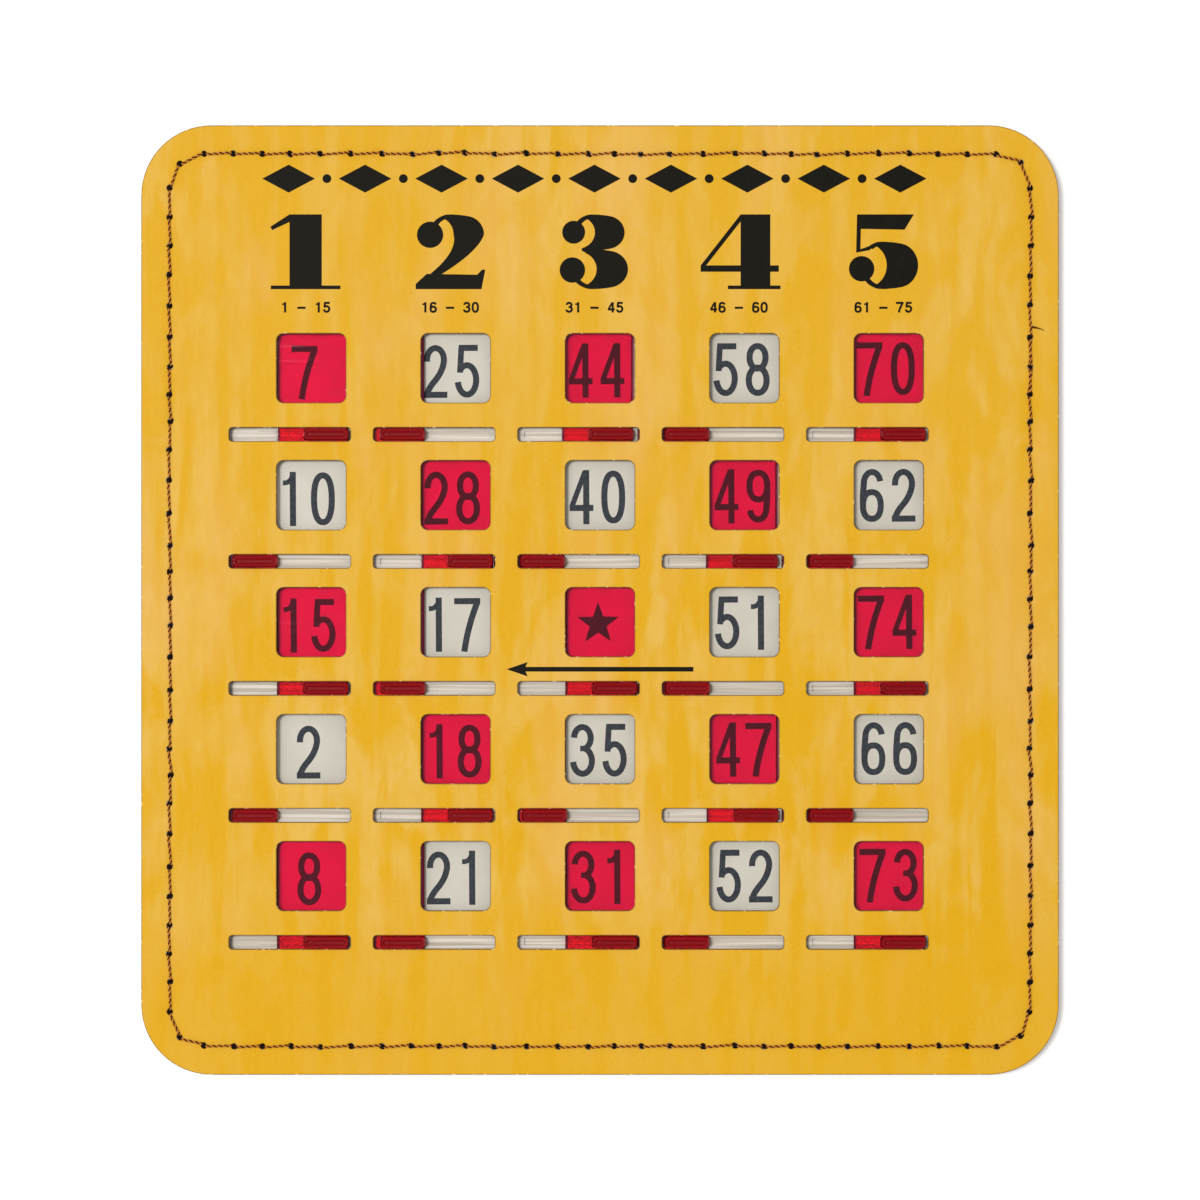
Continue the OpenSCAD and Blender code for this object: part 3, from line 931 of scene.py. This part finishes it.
def numberGroups():
    groups = []
    for row, col in cells:
        value = numbers.rows[row - 1][col - 1]
        x = colX(col) + numbers.spread * (col - 3) + numbers.shift[0]
        y = rowY(row) + numbers.shift[1]
        if value:
            groups += wordGroups(str(value), x, y, numbers.pitch, numbers.width, numbers.height,
                                 numbers.stroke)
        else:  # a plain star marks the free cell
            t = np.radians(90 + 36 * np.arange(10))
            r = np.where(np.arange(10) % 2 == 0, *numbers.star)
            groups.append([np.column_stack([x + r * np.cos(t), y + r * np.sin(t)])])
    turn = math.radians(numbers.askew)
    c, s = math.cos(turn), math.sin(turn)
    return [[shape @ np.array([[c, s], [-s, c]]) for shape in shapes] for shapes in groups]


addPrint("number_print", numberGroups(), sheetTop, numberInk)

heading = Settings(
    y=81.98,  # middle of the column marks
    nibThin=0.9,
    nibSlim=1.4,
    swellFrom=0.3,  # share of a bowl's width where the nib starts to swell, and over which it does
    swellOver=0.4,
    shiftX=-1.3,
    rangeY=68.9,
    ranges=["1 - 15", "16 - 30", "31 - 45", "46 - 60", "61 - 75"],
    rangePitch=1.98,
    rangeSize=(1.74, 2.62, 0.52),  # width, height and stroke of a sign
    ornamentY=99.2,
    ornamentPitch=9.0,
    lozenge=(6.2, 3.3),  # half its width and height
    dot=1.05,
)


def swelling(run, full):  # the nib is slim on the left of a bowl and full on its right
    x = (run[:, 0] - run[:, 0].min()) / np.ptp(run[:, 0])
    s = np.clip((x - heading.swellFrom) / heading.swellOver, 0, 1)
    return heading.nibSlim + (full - heading.nibSlim) * s * s * (3 - 2 * s)


def bowl(cx, cy, rx, ry, start, end, full):
    run = arc(cx, cy, rx, ry, start, end, 40)
    return run, swelling(run, full)


columnMarks = {  # for each column: strokes of the nib with its width, then flat shapes, then round ends
    1: ([],
        [line((-3.8, -8.8), (3.8, -8.8), (3.8, 8.8), (-3.8, 8.8)),
         line((-8.2, -8.8), (8.2, -8.8), (8.2, -7.95), (-8.2, -7.95)),
         line((-3.8, 8.8), (-8.3, 5.9), (-7.9, 5.1), (-3.8, 7.0))], []),
    2: ([bowl(0.1, 4.1, 4.3, 4.25, 172, 0, 7.2),
         (sweep((4.4, 4.1), (4.3, -0.6), (-6.6, -7.4)), np.linspace(7.2, 1.6, 14))],
        [line((-8.1, -8.8), (7.4, -8.8), (8.3, -4.2), (7.5, -4.2), (6.4, -5.4), (-5.5, -5.2), (-8.1, -7.6))],
        [(-4.7, 4.0, 3.1)]),
    3: ([bowl(-0.4, 4.55, 4.0, 3.8, 172, -88, 7.0), bowl(-0.4, -4.1, 4.6, 4.25, 88, -172, 7.4)],
        [line((-3.0, 0.2), (-0.8, -0.7), (0.8, 0.0), (0.8, 1.0), (-0.8, 1.7), (-3.0, 0.8))],
        [(-4.9, 4.6, 2.7), (-5.2, -4.3, 3.0)]),
    4: ([],
        [line((0.4, -8.8), (7.4, -8.8), (7.4, 8.8), (0.4, 8.8)),
         line((0.4, 8.8), (-9.0, -3.2), (-7.7, -3.2), (1.4, 8.4)),
         line((-9.0, -4.7), (9.4, -4.7), (9.4, -3.2), (-9.0, -3.2)),
         line((-2.6, -8.8), (9.8, -8.8), (9.8, -7.95), (-2.6, -7.95))], []),
    5: ([bowl(-0.2, -3.2, 4.7, 5.15, 128, -172, 7.4)],
        [line((-6.2, 8.8), (-6.2, 5.4), (5.0, 5.2), (7.2, 8.8)),
         line((-6.2, 8.8), (-6.4, -0.2), (-5.4, 0.2), (-5.2, 8.8)),
         line((-6.4, -0.2), (-3.1, 0.4), (-2.6, 1.6), (-5.4, 0.6))],
        [(-5.1, -4.0, 3.0)]),
}


def headingGroups():
    groups = []
    for col in range(1, 6):
        middle = np.array([colX(col) + heading.shiftX, heading.y])
        nibbed, flats, balls = columnMarks[col]
        shapes = [middle + flat for flat in flats] + [middle + ringLoop(x, y, r, 32) for x, y, r in balls]
        for run, wide in nibbed:
            shapes += strokeShapes(middle + run, nibOffset(run, wide, heading.nibThin))
        groups.append(shapes)
        groups += wordGroups(heading.ranges[col - 1], middle[0], heading.rangeY, heading.rangePitch,
                             *heading.rangeSize)
    return groups


def ornamentGroups():  # a plain row of lozenges and dots along the top
    groups = []
    lozenge = np.array([[1, 0], [0, 1], [-1, 0], [0, -1]]) * heading.lozenge
    dot = ringLoop(0, 0, heading.dot, 24)
    for i in np.arange(-8, 9):
        middle = np.array([i * heading.ornamentPitch + heading.shiftX, heading.ornamentY])
        groups.append([middle + (dot if i % 2 else lozenge)])
    return groups


arrow = Settings(y=-16.3, half=22.0, head=(5.0, 1.7), notch=0.8, lap=1.0, shaft=1.1)


def arrowGroups():  # points to the side that opens the shutters
    back, wing = arrow.head
    tip = np.array([-arrow.half, arrow.y])
    head = tip + np.array([[0, 0], [back, -wing], [back - arrow.notch, 0], [back, wing]])
    half, near, far = arrow.shaft / 2, back - arrow.lap, 2 * arrow.half
    shaft = tip + np.array([[near, -half], [far, -half], [far, half], [near, half]])
    return [[head, shaft]]


addPrint("front_print", headingGroups() + ornamentGroups() + arrowGroups(), faceTop, faceInk)
print("print laid")


# shutters

shutter = Settings(
    overhang=0.35,
    radius=1.0,
    edge=0.12,
    edgeDark=0.2,  # the plate is painted dark as shade this far in from its rounded edge
    thick=0.6,
    tabLength=10.8,
    tabWidth=2.6,
    tabRadius=0.5,
    endDraft=0.45,
    sideDraft=0.25,
    topRound=0.24,
    footGap=0.3,  # the foot of the tab keeps this far from the plate's rounded edge
    lip=(0.1, 0.06, 0.005),  # height of the tab's lower edge, and how far its end and sides stand back
    wallAt=(0.16, 0.24),  # heights of rings on the wall, then one at a share of the tab's height
    wallShare=0.45,
    roundAt=(25, 50, 72, 90),  # degrees round the top edge
    wallRings=7,  # rings of the tab painted lighter as the light on its walls, up to the middle of its rounded top edge
    rim=0.22,
    rimShare=0.6,  # of the rim that stays flat
    rimReach=0.05,
    dish=0.25,
    dishAt=(0.0, 0.14, 0.32, 0.55, 0.8, 0.94),  # shares of the way in from the rim
    dishSteep=1.5,
    dishRadius=0.9,
    roundest=0.98,  # the largest corner radius, as a share of half a ring's width
    gateFromEnd=1.9,
    gateHigh=0.16,
    gateWide=0.32,
    lugLength=8.0,
    lugWidth=1.0,
    lugHigh=0.2,
    lugRadius=0.12,
)


def plateRings(middle, w, h, zLow, zTop):
    # rounded edge with inset e (1 - sin t) and height e (1 - cos t), from below up to the top
    e = shutter.edge
    t = np.radians([0, 22.5, 45, 67.5, 90])
    inset = np.concatenate([[e + shutter.edgeDark], e * (1 - np.sin(t))])
    rise = np.concatenate([[0.0], e * (1 - np.cos(t))])
    steps = list(zip(inset, zLow + rise)) + list(zip(inset[::-1], zTop - rise[::-1]))
    return [lift(middle + roundRect(w - 2 * d, h - 2 * d, shutter.radius - d, corner=6, side=3), z)
            for d, z in steps]


def tabRings(middle, zTop, tall):
    # leaning walls, a rounded top edge and a dish that falls as the sine of the way in
    halfLong, halfWide = shutter.tabLength / 2, shutter.tabWidth / 2
    foot = halfLong - shutter.overhang - shutter.edge - shutter.footGap
    lipHigh, lipEnd, lipSide = shutter.lip
    steps = [(0.0, -halfLong, foot, halfWide), (lipHigh, -halfLong, halfLong - lipEnd, halfWide - lipSide)]
    r = shutter.topRound
    for z in (*shutter.wallAt, tall * shutter.wallShare, tall - r):
        x, y = halfLong - shutter.endDraft * z / tall, halfWide - shutter.sideDraft * z / tall
        steps.append((z, -x, x, y))
    for a in np.radians(shutter.roundAt):
        d = r * (1 - math.cos(a))
        steps.append((tall - r + r * math.sin(a), d - x, x - d, y - d))
    rim = shutter.rim * shutter.rimShare
    rimX, rimY = x - r - rim, y - r - rim
    for t in shutter.dishAt:
        d = t * rimY
        fall = shutter.dish * math.sin(min(1.0, shutter.dishSteep * t) * math.pi / 2)
        steps.append((tall - fall, d - rimX, rimX - d, rimY - d))
    rings = []
    for z, x0, x1, y in steps:
        bend = shutter.tabRadius if y >= rimY + shutter.rimReach else shutter.dishRadius
        loop = roundRect(x1 - x0, 2 * y, min(bend, y * shutter.roundest), corner=6, side=14)
        loop = loop + ((x0 + x1) / 2, 0)
        away = (loop[:, 0] + halfLong - shutter.gateFromEnd) ** 2 + loop[:, 1] ** 2
        gate = shutter.gateHigh * np.exp(-away / shutter.gateWide ** 2) * (y < rimY)
        rings.append(np.column_stack([loop + middle, zTop + z + gate]))
    return rings


def buildShutter(row, col):
    # one shell: plate edge, tab and lug are rings of points, with the flats filled between them
    name = shutterNode(row, col)
    low, high = nodeBox(name)
    w, h = high[0] - low[0] - shutter.overhang, high[1] - low[1]
    zLow = nodeBox("shutter_r1_c1")[0][2] + shutter.lugHigh
    zTop = zLow + shutter.thick
    tabMiddle = np.array([high[0] - shutter.tabLength / 2, rowY(row) - grid.slotDrop])
    plate = plateRings(np.array([low[0] + w / 2, low[1] + h / 2]), w, h, zLow, zTop)
    tab = tabRings(tabMiddle, zTop, high[2] - zTop)
    lugLoop = tabMiddle + roundRect(shutter.lugLength, shutter.lugWidth, shutter.lugRadius,
                                    corner=2, side=1)
    lug = [lift(lugLoop, zLow), lift(lugLoop, low[2])]
    faces, kinds, first, last, count = [], [], [], [], 0
    # the plate's edge rings take the dark maroon of painted edge shade
    for rings, kind in ((plate, 2), (tab, 1), (lug, 0)):
        n = len(rings[0])
        quads = gridQuads(len(rings), n) + count
        faces += quads.tolist()
        i = np.arange(len(quads))
        shadedLeftEnd = rings[0][i % n, 0] < rings[0][:, 0].min() + shutter.tabRadius  # the left end keeps the top's dark red, as painted shade from the slot's end
        # the lower rings of the tab take the lighter red as painted light
        litWall = (kind == 1) & (i < shutter.wallRings * n) & ~shadedLeftEnd
        kinds += np.where(litWall, 3, kind).tolist()
        first.append(count + np.arange(n))
        count += n * len(rings)
        last.append(count - n + np.arange(n))
    flats = ((last[0], first[1], plate[-1], tab[0]), (first[0], first[2], plate[0], lug[0]))
    for outer, inner, a, b in flats:
        made = np.concatenate([outer, inner])[fillFlat([a[:, :2], b[:, :2]])].tolist()
        faces += made
        kinds += [0] * len(made)
    faces += [last[1].tolist(), last[2][::-1].tolist()]
    kinds += [1, 0]
    piece = addPiece(name + "_clear", np.concatenate(plate + tab + lug), faces,
                     [redPlate, redTab, redEdgeShade, redWallLit], frame["nodes"][name]["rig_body"],
                     faceMaterial=kinds)
    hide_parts(name)


for row, col in cells:
    buildShutter(row, col)
print("shutters set")


# floor, light and camera

floorLook = Settings(
    half=3.0,
    z=-0.0003,  # just under the card
    colour=(0.92, 0.92, 0.92, 1),
    rough=0.9,
    lighter=0.2,  # so that the camera sees it white
)


def makeFloor():
    corners = floorLook.half * np.array([[-1, -1], [1, -1], [1, 1], [-1, 1]])
    mesh = bpy.data.meshes.new("floor")
    mesh.from_pydata(lift(corners, floorLook.z).tolist(), [], [[0, 1, 2, 3]])
    material, tree, shader = newMaterial("floorPaper")
    seen = put(tree, "ShaderNodeBsdfPrincipled", {"Emission Color": (1, 1, 1, 1),
                                                 "Emission Strength": floorLook.lighter})
    for paper in (shader, seen):
        setPlain(paper, Base_Color=floorLook.colour, Roughness=floorLook.rough)
    path = put(tree, "ShaderNodeLightPath")
    straight = maths(tree, "MAXIMUM", path.outputs["Is Camera Ray"], path.outputs["Is Glossy Ray"])
    direct = maths(tree, "MAXIMUM", straight, path.outputs["Is Transmission Ray"])
    mix = put(tree, "ShaderNodeMixShader", {0: direct, 1: shader.outputs[0], 2: seen.outputs[0]})
    tree.links.new(mix.outputs[0], tree.nodes["Material Output"].inputs["Surface"])
    mesh.materials.append(material)
    floor = addObject("floor", mesh)


makeFloor()

studio = {
    "sky": 0.46,
    "key": 50.5,
    "keySize": 0.55,
    "keyFrom": (-0.8, 0.25, 3.0),
    "fill": 8.7,
    "fillSize": 1.1,
    "fillFrom": (-1.6, -0.2, 2.9),
}
world = bpy.data.worlds.new("studio")
world.use_nodes = True
setPlain(world.node_tree.nodes["Background"], Color=(1, 1, 1, 1), Strength=studio["sky"])
scene.world = world


def addLamp(name):
    lamp = bpy.data.lights.new(name, "AREA")
    lamp.size = studio[name + "Size"]
    lamp.energy = studio[name]
    holder = addObject(name, lamp)
    holder.location = studio[name + "From"]
    holder.rotation_euler = (-holder.location).to_track_quat("-Z", "Y").to_euler()


addLamp("key")
addLamp("fill")

shot = Settings(away=0.95, cardPixels=917.5, framePixels=1200, sensor=36, nearest=0.01)
camera = bpy.data.cameras.new("camera")
camera.sensor_width = shot.sensor
spanX = 2 * cardHalf[0] * mm * shot.framePixels / shot.cardPixels
camera.lens = camera.sensor_width * shot.away / spanX
camera.clip_start = shot.nearest
eye = addObject("camera", camera)
eye.location = (0, 0, shot.away + faceTop * mm)
scene.camera = eye
print("studio set")
